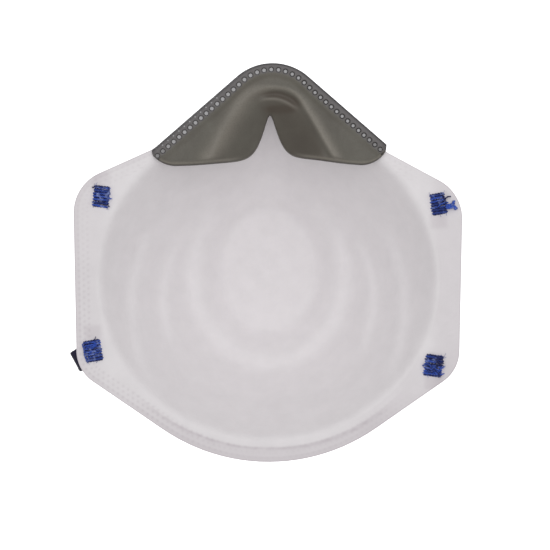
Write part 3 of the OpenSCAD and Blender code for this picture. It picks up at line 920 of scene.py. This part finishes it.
def foam_lines():
    """The pad's grid: rows of points [x, z] from the nose edge down, and their distances to the border.

    No row runs past the lower edge, where the rows near the tips would otherwise cross it.
    """
    share = np.linspace(-1, 1, FOAM_COLUMNS + 1)
    along = share * FOAM_REACH - PAD_SHIFT
    along[0] -= LEFT_TIP
    along[-1] += RIGHT_TIP
    gathered = np.sign(share) * np.abs(share) ** NOTCH_GATHER
    low = lower_edge(NOTCH_X * (1 - np.abs(share)) + gathered * FOAM_LOW_X)
    insets = [np.full_like(along, inset) for inset in EDGE_INSETS]
    insets += [BLOCK_TOP + CELL * k + drift(along) for k in range(CELLS + 1)]
    rows = [nose_edge(along, FOAM_INSET + inset) for inset in insets]
    start = rows[-1]
    height = np.linalg.norm(low - start, axis=1)
    lip_rows = 1 - np.linspace(1, 0, 9) ** 1.5 * 0.1
    body = np.concatenate([np.linspace(0, 0.9, 40)[1:-1], lip_rows])
    rows += [start + (low - start) * part for part in body]
    to_low = [height + BLOCK_LOW - inset for inset in insets] + [height * (1 - part) for part in body]
    to_top = insets + [BLOCK_LOW + height * part for part in body]
    to_end = FOAM_REACH * (1 - np.abs(share))
    rows, to_low, to_top = np.array(rows), np.array(to_low), np.array(to_top)
    above_edge = ROW_GAP * np.arange(len(rows) - 1, -1, -1)[:, None]
    rows[..., 1] = np.maximum(rows[..., 1], lower_edge(rows[..., 0])[..., 1] + above_edge)
    to_edge = np.minimum(np.minimum(to_low, to_end[None, :] + 0.02), to_top * 1.6)
    return rows, to_edge, to_top, to_low


def weld_places():
    """The centre [x, z] of each weld"""
    along = (np.arange(WELD_COUNT) - (WELD_COUNT - 1) / 2) * WELD_PITCH - PAD_SHIFT
    return nose_edge(along, FOAM_INSET + WELD_INSET + drift(along))


def nose_foam(material):
    """The pad, with a pit in its skin for each weld"""
    rows, to_edge, to_top, to_low = foam_lines()
    guides = foam_guides(rows)
    x, z = rows[..., 0], rows[..., 1]
    face_y, back_y = foam_face(rows, guides, to_edge, to_top, to_low), foam_back(x, z)
    back_y = back_y - BACK_ROUND * (1 - np.clip(to_edge / 0.6, 0, 1)) ** 2 * ramp(to_top, 4, 3)
    builder = Builder()
    on_face, on_back = (builder.row(np.stack([x, y, z], axis=-1).reshape(-1, 3)).reshape(x.shape)
                        for y in (face_y, back_y))
    first = len(EDGE_INSETS)
    for j in range(len(rows) - 1):
        builder.faces += between(on_back[j], on_back[j + 1])
        if not first <= j < first + CELLS:
            builder.faces += between(on_face[j], on_face[j + 1])
    face = builder.points[0]
    for number, (centre_x, centre_z) in enumerate(weld_places()):
        block = on_face[first:first + CELLS + 1, number * CELLS:(number + 1) * CELLS + 1]
        border = border_of(block)
        centre = np.array([centre_x, face[block[CELLS // 2, CELLS // 2]][1], centre_z])
        out = unit((face[border] - centre) * [1, 0, 1])
        rings = [border] + [builder.row(centre + out * radius + [0, sunk, 0]) for radius, sunk in PIT_LEVELS]
        builder.join(rings)
        builder.cap(rings[-1], centre + [0, PIT_DEPTH, 0])
    builder.join([border_of(on_face), border_of(on_back)])

    def per_point(on_skin, on_rear, in_pits):
        """One number for each point: the face side's, the cup side's and the pits'"""
        pits = np.full(builder.count - 2 * x.size, in_pits)
        return np.concatenate([on_skin.ravel(), on_rear.ravel(), pits])

    painted_highlight, painted_shade = foam_tones(rows, guides, to_low)
    # Painted shade: dark under the lobes' lower edge and along the pad's cut border
    low_edge_shade = 0.45 * ramp(np.abs(x), 10, 8) * (1 - ramp(to_low, 0.15, 0.4))
    depth = per_point(to_top, to_top, WELD_INSET)
    cut = np.maximum(0.85 * (1 - ramp(depth, 0.2, 0.4)), per_point(low_edge_shade, low_edge_shade, 0.0))
    tones = {"sealed": 0.85 * (1 - ramp(depth, 1.9, 1.6)), "cut": cut,
             "painted_highlight": per_point(painted_highlight, 0 * painted_highlight, 0.0), "painted_shade": per_point(painted_shade, 0 * painted_shade, 0.0)}
    pad = builder.make("nose_foam", material, floats=tones, replaces=["nose_foam"])
    return pad


def weld_disc(builder, centre_x, centre_z, radius, top, rim, dull):
    """A disc with a raised rim and a sunk middle, darkened round its rim by painted shade from the pit's wall
    and, where it is dull, greyer all over
    """
    centre = np.array([centre_x, 0, centre_z])
    round_centre = np.insert(circle(24), 1, 0, axis=1)
    levels = ((1, -WELD_BASE, rim), (1, -top + 0.2, rim), (0.94, -top + 0.07, rim), (0.82, -top, rim * 0.85),
              (0.64, -top + 0.03, rim * 0.4), (0.45, -top + 0.05, 0))
    rings = [builder.row(centre + round_centre * radius * width + [0, y, 0], max(shade_and_dull, dull))
             for width, y, shade_and_dull in levels]
    builder.join(rings)
    builder.cap(rings[0], centre + [0, -WELD_BASE, 0], rim)
    builder.cap(rings[-1], centre + [0, -top + 0.08, 0], dull)


def foam_welds(material):
    """Discs of melted fibre at the bottom of the pits, and small bits of a second row on the left edge"""
    builder = Builder()
    for centre_x, centre_z in weld_places():
        dull = 0.1 + 0.45 * ramp(abs(centre_x), 34, 6)
        # How much painted shade each disc's rim gets, more towards the right
        rim = 0.25 + 0.75 * ramp(centre_x, -4, 20)
        weld_disc(builder, centre_x, centre_z, WELD_RADIUS, WELD_TOP, rim, dull)
    bit_along = np.arange(*BIT_RANGE, WELD_PITCH)
    for centre_x, centre_z in nose_edge(bit_along, FOAM_INSET + BIT_INSET):
        weld_disc(builder, centre_x, centre_z, BIT_RADIUS, BIT_TOP, 0.45, 0.25)
    return builder.make("foam_welds", material, value_name="shade_and_dull", replaces=["foam_welds"])


# ---- Ribbons: the nose clip and the head bands ----

def ribbon(builder, centres, across, profile, raised=0.0):
    """Sweeps a closed profile [across, outwards] along centres; profile(i) gives it for each centre"""
    along = unit(np.gradient(centres, axis=0))
    wide = unit(across - along * (across * along).sum(axis=1, keepdims=True))
    out = np.cross(along, wide)
    rings = []
    for i, centre in enumerate(centres):
        shape = profile(i)
        points = centre + shape[:, :1] * wide[i] + shape[:, 1:2] * out[i]
        rings.append(builder.row(points, raised))
    builder.join(rings)
    for end, ring in ((0, rings[0]), (-1, rings[-1])):
        builder.cap(ring, centres[end])


def nose_clip(material):
    """A strip glued outside the cup over the nose, with rolled edges and rounded ends"""
    count = 180
    turn = math.pi / 2 + CLIP_SPAN * np.linspace(-0.5, 0.5, count)
    lift = (CLIP_THICK / 2 + CLIP_LIFT) / WALL + 1
    low, centres, high = (skin(mouth(turn) * (CLIP_PLACE + aside), turn, lift)[0]
                          for aside in (-CLIP_PROBE, 0, CLIP_PROBE))
    along = lengths(centres)
    to_end = np.minimum(along, along[-1] - along)
    narrow = CLIP_CORNER * (1 - rounded_edge(to_end, CLIP_CORNER))
    ripple = 0.05 * waves(centres, 11, seed=31)
    squared = np.sign(circle(40)) * np.abs(circle(40)) ** CLIP_SQUARENESS

    def profile(i):
        size = np.array([CLIP_WIDTH / 2 - narrow[i], CLIP_THICK / 2])
        return squared * size + [0, ripple[i]]

    builder = Builder()
    ribbon(builder, centres, high - low, profile)
    return builder.make("nose_clip", material, replaces=["nose_clip"])


RING_STEP = 0.42
CORDS = 9
BRAID_PITCH = 1.5
CORD_HEIGHT = 0.07
BRAID_HEIGHT = 0.035
BRAID_LEAN = 0.8
SCALLOP = 0.06
GROUND_SHARE = 0.82
SQUARE_POWER = 10
# How far in front of its folds the free span starts, and how many steps of the path are smoothed into one
SPAN_START = 6
SMOOTHING = 13


def sewn_end(tack, fold_x, fold_z):
    """Points and directions across, from under a tack to where the band stands clear of its fold"""
    start, fold = np.array([tack[0], SEAT, tack[1]]), np.array([fold_x, SEAT, fold_z])
    way = unit(fold - start)
    slanted = np.array([way[2], 0, -way[0]])
    slanted *= np.sign(slanted[2])
    turn_at = fold - way * FOLD_RADIUS
    points = [start - way * UNDER_TACK, start, turn_at]
    points += [turn_at + FOLD_RADIUS * (way * math.sin(t) + np.array([0, 1 - math.cos(t), 0]))
               for t in np.linspace(0.2, math.pi / 2, 8)]
    return points, [slanted] * len(points)


def band_path(left_end, right_end, axis_z, axis_y, reach):
    """Centres and directions across of a whole band, from its left end's tack to its right end's"""
    left_points, left_across = sewn_end(*left_end)
    right_points, right_across = sewn_end(*right_end)
    first = math.asin(SPAN_START / reach)
    middle, half = (right_end[1] + left_end[1]) / 2, (right_end[1] - left_end[1]) / 2
    span = [np.array([middle + half * math.cos(t), axis_y + reach * math.sin(t), axis_z])
            for t in np.linspace(math.pi - first, first, 60)]
    centres = np.array(left_points + span + right_points[::-1])
    across = np.array(left_across + [np.array([0, 0, 1.0])] * len(span) + right_across[::-1])
    both = resampled(np.concatenate([centres, across], axis=1), round(lengths(centres)[-1] / RING_STEP))
    weights = np.hanning(SMOOTHING + 2)[1:-1]
    weights /= weights.sum()
    for _ in range(2):
        padded = np.pad(both, ((SMOOTHING // 2, SMOOTHING // 2), (0, 0)), "edge")
        both = np.stack([np.convolve(column, weights, "valid") for column in padded.T], axis=1)
    return both[:, :3], both[:, 3:]


def head_band(name, material, path, nodes):
    """Flat elastic with raised cords and a fine braid, from tack to tack"""
    centres, across = path
    along = lengths(centres)
    side = np.linspace(-1, 1, 5 * CORDS + 1)
    rim = np.sqrt(np.clip(1 - np.abs(side) ** SQUARE_POWER, 0.02, 1))
    cords = np.cos(side * CORDS * math.pi) ** 2

    def surface(i, face):
        lean = side * BAND_WIDTH / 2 * BRAID_LEAN
        braid = np.cos(2 * math.pi * (along[i] + face * lean) / BRAID_PITCH)
        return rim * (BAND_THICK / 2 * GROUND_SHARE + (CORD_HEIGHT + BRAID_HEIGHT * braid) * cords)

    def profile(i):
        edge = BAND_WIDTH / 2 - SCALLOP * math.cos(2 * math.pi * along[i] / BRAID_PITCH)
        return np.concatenate([np.stack([side * edge, surface(i, 1)], axis=1),
                               np.stack([side * edge, -surface(i, -1)], axis=1)[::-1]])

    builder = Builder()
    ribbon(builder, centres, across, profile, raised=np.concatenate([cords, cords[::-1]]))
    piece = builder.make(name, material, value_name="raised", body=None, replaces=nodes)
    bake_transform(piece)
    return piece


def head_bands(material):
    """Both bands; the lower one's left end is loose, and stands out past the flange"""
    folds = {"upper": ((-FOLD_X, 0), (FOLD_X, 0)),
             "lower": ((-LOOSE_FOLD_X, LOOSE_FOLD_DROP), (LOWER_FOLD_X, 0))}
    for side, ends in folds.items():
        _, axis_y, axis_z = JOINT_PLACES[f"{side}_band_swing"]
        reach = box(f"{side}_band")[1][1] - BAND_THICK / 2 - axis_y
        left_end, right_end = ((TACKS[f"{side}_{hand}_tack"], fold_x, axis_z - drop)
                               for hand, (fold_x, drop) in zip(("left", "right"), ends))
        path = band_path(left_end, right_end, axis_z, axis_y, reach)
        head_band(f"{side}_band", material, path, [f"{side}_band", f"{side}_band_ends"])


# ---- Bar tacks ----

PLY_RADIUS = 0.3
PLY_TWIST = 0.25
TWIST_PITCH = 2.1
THREAD_STEP = 0.16
PLY_CONTRAST = 0.16
FACE_SIDE = 0.06
BACK_SIDE = SEAT + BAND_THICK / 2
# How high a stitch lies for its thickness, and how far its ends turn down from which share of its reach
STITCH_LIFT = 0.34
END_DROP = 0.75
END_SHARE = 0.88
UNDERLAY_SHARE = 0.93
UNDERLAY_PITCH = 0.97 * STITCH_PITCH
STRAND_LIFT = 0.72
STRAY_FIBRES = 16
STRAY_RADIUS = 0.05


def thread(builder, path, tint, size=1.0, phase=0.0):
    """Two plies twisted together along a path"""
    path = np.asarray(path, float)
    path = resampled(path, max(12, round(lengths(path)[-1] / THREAD_STEP)))
    along = lengths(path)
    ahead = unit(np.gradient(path, axis=0))
    side = unit(np.cross(ahead, [0.1, 1, 0.05]))
    up = np.cross(ahead, side)
    for ply in range(2):
        turn = (2 * math.pi * along / TWIST_PITCH + phase + ply * math.pi)[:, None]
        centre = path + PLY_TWIST * size * (np.cos(turn) * side + np.sin(turn) * up)
        builder.tube(centre, PLY_RADIUS * size, 8, np.clip(tint + PLY_CONTRAST * (ply - 0.5), 0, 1))


def placed(tack, points):
    """Points [along the stitch, y, across the stitches] turned and moved to a tack"""
    centre_x, centre_z, tilt, _ = tack
    c, s = math.cos(math.radians(tilt)), math.sin(math.radians(tilt))
    points = np.atleast_2d(np.asarray(points, float))
    return np.stack([centre_x + points[:, 0] * c - points[:, 2] * s, points[:, 1],
                     centre_z + points[:, 0] * s + points[:, 2] * c], axis=1)


def stitch(builder, tack, v_start, v_end, reach, surface, outwards, tint, size, phase):
    """One thread lying across the tack, its two ends turning down into the cloth"""
    part = np.linspace(-1, 1, 25)
    height = STITCH_LIFT * size - END_DROP * np.clip(np.abs(part) - END_SHARE, 0, 1) / (1 - END_SHARE)
    across = v_start + (v_end - v_start) * (part + 1) / 2
    points = np.stack([part * reach, surface + outwards * height, across], axis=1)
    thread(builder, placed(tack, points), tint, size, phase)


def bar_tack(name, tack, material, rng, loose):
    """Underlay and cover stitches on both sides, then loose threads, frayed strands and stray fibres"""
    builder = Builder()
    half = (STITCH_COUNT - 1) / 2
    length, height = tack[3], half * STITCH_PITCH
    for surface, outwards in ((FACE_SIDE, -1), (BACK_SIDE, 1)):
        for i in range(STITCH_COUNT + 1):
            # The underlay's low tint is painted shade under the cover stitches
            v = (i - half - 0.5) * UNDERLAY_PITCH
            stitch(builder, tack, v, v + rng.normal(0, 0.08), length / 2 * UNDERLAY_SHARE,
                   surface - outwards * 0.2, outwards, rng.uniform(0, 0.12), 0.7, rng.uniform(0, 6))
        for i in range(STITCH_COUNT):
            v = (i - half) * STITCH_PITCH
            reach = length / 2 + rng.uniform(-0.35, 0.15)
            stitch(builder, tack, v + rng.normal(0, 0.1), v + rng.normal(0, 0.16), reach,
                   surface + outwards * 0.1, outwards, rng.uniform(0.2, 0.95), 0.72, rng.uniform(0, 6))
    for path, tint, size in loose:
        thread(builder, placed(tack, path), tint, size)
    for _ in range(FRAYED[name]):
        u, v = rng.uniform(-0.4, 0.3) * length, rng.uniform(-0.85, 0.85) * height
        bend = rng.normal(0, 0.35, 4)
        strand = through([[u + 0.8 * k, -STRAND_LIFT - 0.12 * (k % 2), v + bend[k]] for k in range(4)], 24)
        thread(builder, placed(tack, strand), rng.choice([0.0, 1.0, 1.0]), 0.45, rng.uniform(0, 6))
    for _ in range(STRAY_FIBRES):
        u, v = rng.uniform(-1, 1) * length / 2, rng.choice([-1, 1]) * height
        lean = rng.normal(0, 1, 2)
        bits = [[u + lean[0] * t, -0.55 - 0.25 * t * (1 - t), v * (1 + 0.12 * t) + lean[1] * t * 0.7]
                for t in np.linspace(0, 1, 7)]
        builder.tube(placed(tack, bits), STRAY_RADIUS, 5, rng.uniform(0.2, 0.8))
    return builder.make(name, material, value_name="tint", replaces=[name])


def bar_tacks(material):
    """All four tacks, each with its own loose threads"""
    # Points [along the stitch, y, across the stitches], tint and thickness
    loose = {
        "upper_left_tack": [
            ([(2.4, -0.6, 3.4), (2.7, -0.85, 1.5), (2.5, -0.85, -0.8), (2.2, -0.6, -3.0)], 0.35, 0.7),
            ([(-3.6, -0.3, 2.9), (-2.4, -0.8, 3.5), (-0.6, -0.75, 3.6), (1.2, -0.4, 3.3)], 0.0, 0.6),
        ],
        "upper_right_tack": [
            ([(1.8, -0.5, 3.2), (2.5, -0.85, 1.6), (2.7, -0.85, -0.6), (2.1, -0.6, -2.9)], 0.0, 0.8),
            ([(2.4, -0.5, 0.6), (2.9, -0.8, 1.6), (3.8, -0.7, 2.0), (4.9, -0.5, 1.9)], 0.0, 0.5),
            ([(2.4, -0.6, -1.0), (3.6, -0.9, -1.2), (4.7, -0.9, -1.2), (5.5, -0.8, -0.7), (5.7, -0.6, 0.1)],
             0.85, 1.15),
            ([(2.4, -0.6, -1.9), (3.8, -1.1, -1.9), (5.0, -1.2, -2.0), (5.8, -0.9, -2.3), (6.0, -0.6, -3.0)],
             0.9, 1.3),
        ],
        "lower_left_tack": [
            ([(-3.4, -0.4, 3.0), (-3.1, -0.8, 1.2), (-3.3, -0.8, -1.0), (-2.9, -0.5, -3.1)], 0.6, 0.6),
            ([(0.6, -0.5, 3.6), (1.5, -0.8, 4.1), (1.9, -0.6, 4.9)], 0.0, 0.35),
        ],
        "lower_right_tack": [
            ([(-3.9, -0.5, -0.6), (-2.8, -0.95, 0.6), (-1.6, -0.95, 0.1), (-0.6, -0.6, -1.0)], 0.5, 0.75),
            ([(-1.8, -0.6, 3.9), (-0.2, -0.85, 3.7), (1.6, -0.8, 3.2), (3.2, -0.5, 3.4)], 0.0, 0.55),
            ([(3.0, -0.6, -3.2), (2.2, -1.0, -2.6), (2.6, -1.0, -3.6), (3.3, -0.6, -3.0)], 0.1, 0.6),
            ([(-2.6, -0.6, -1.4), (-1.4, -0.95, -2.4), (0.2, -0.9, -1.8), (1.6, -0.6, -2.2)], 0.25, 0.6),
        ],
    }
    rng = np.random.default_rng(7)
    for name, tack in TACKS.items():
        bar_tack(name, tack, material, rng, loose[name])


# ---- Camera, light and stage ----

CAMERA_PLACE = (0.0026, -0.62, 0.0018)
SENSOR_WIDTH = 36
FOCAL_LENGTH = 110.5
FLOOR_Z = -0.12
STAGE_WHITE = 0.9


def camera():
    """Straight at the face side, as in the photograph"""
    data = bpy.data.cameras.new("camera")
    data.sensor_width = SENSOR_WIDTH
    data.lens = FOCAL_LENGTH
    seen = bpy.data.objects.new("camera", data)
    seen.location = CAMERA_PLACE
    seen.rotation_euler = (math.pi / 2, 0, 0)
    bpy.context.scene.collection.objects.link(seen)
    bpy.context.scene.camera = seen


def area_light(name, place, size, power, aim=(0, 0.01, 0)):
    """A round soft light, sizes in metres and power in watts"""
    data = bpy.data.lights.new(name, "AREA")
    data.shape = "DISK"
    data.size, data.energy = size, power
    lamp = bpy.data.objects.new(name, data)
    lamp.location = place
    away = lamp.location - type(lamp.location)(aim)
    lamp.rotation_euler = away.to_track_quat("Z", "Y").to_euler()
    bpy.context.scene.collection.objects.link(lamp)


def white_stage():
    """A plain white floor and a white dome round everything; neither lights the object nor shades it"""
    material = bpy.data.materials.new("stage_white")
    material.use_nodes = True
    shader = material.node_tree.nodes["Principled BSDF"]
    shader.inputs["Base Color"].default_value = (STAGE_WHITE, STAGE_WHITE, STAGE_WHITE, 1)
    shader.inputs["Emission Color"].default_value = (1, 1, 1, 1)
    shader.inputs["Emission Strength"].default_value = 1
    bpy.ops.mesh.primitive_uv_sphere_add(radius=4, segments=48, ring_count=24)
    dome = bpy.context.object
    bpy.ops.mesh.primitive_plane_add(size=7, location=(0, 0, FLOOR_Z))
    floor = bpy.context.object
    for name, thing in (("dome", dome), ("floor", floor)):
        thing.name = name
        thing.data.materials.append(material)
        thing.visible_diffuse = thing.visible_glossy = thing.visible_shadow = False
        thing.visible_transmission = thing.visible_volume_scatter = False


def lighting():
    """An even white world with a broad light in front, a small one above it and one behind"""
    bpy.context.scene.view_settings.view_transform = "Standard"
    world = bpy.data.worlds.new("studio")
    world.use_nodes = True
    world.node_tree.nodes["Background"].inputs["Color"].default_value = (1, 1, 1, 1)
    world.node_tree.nodes["Background"].inputs["Strength"].default_value = 0.5
    bpy.context.scene.world = world
    area_light("key", (0.05, -0.9, 0.1), 0.9, 3.3)
    area_light("top", (0.03, -0.62, 0.6), 0.4, 0.35)
    area_light("rear", (-0.4, 0.9, 0.5), 0.6, 3.0)


camera()
lighting()
white_stage()
layers()
nose_foam(foam_membrane())
foam_welds(weld_plastic())
nose_clip(clip_aluminium())
head_bands(band_elastic())
bar_tacks(tack_thread())
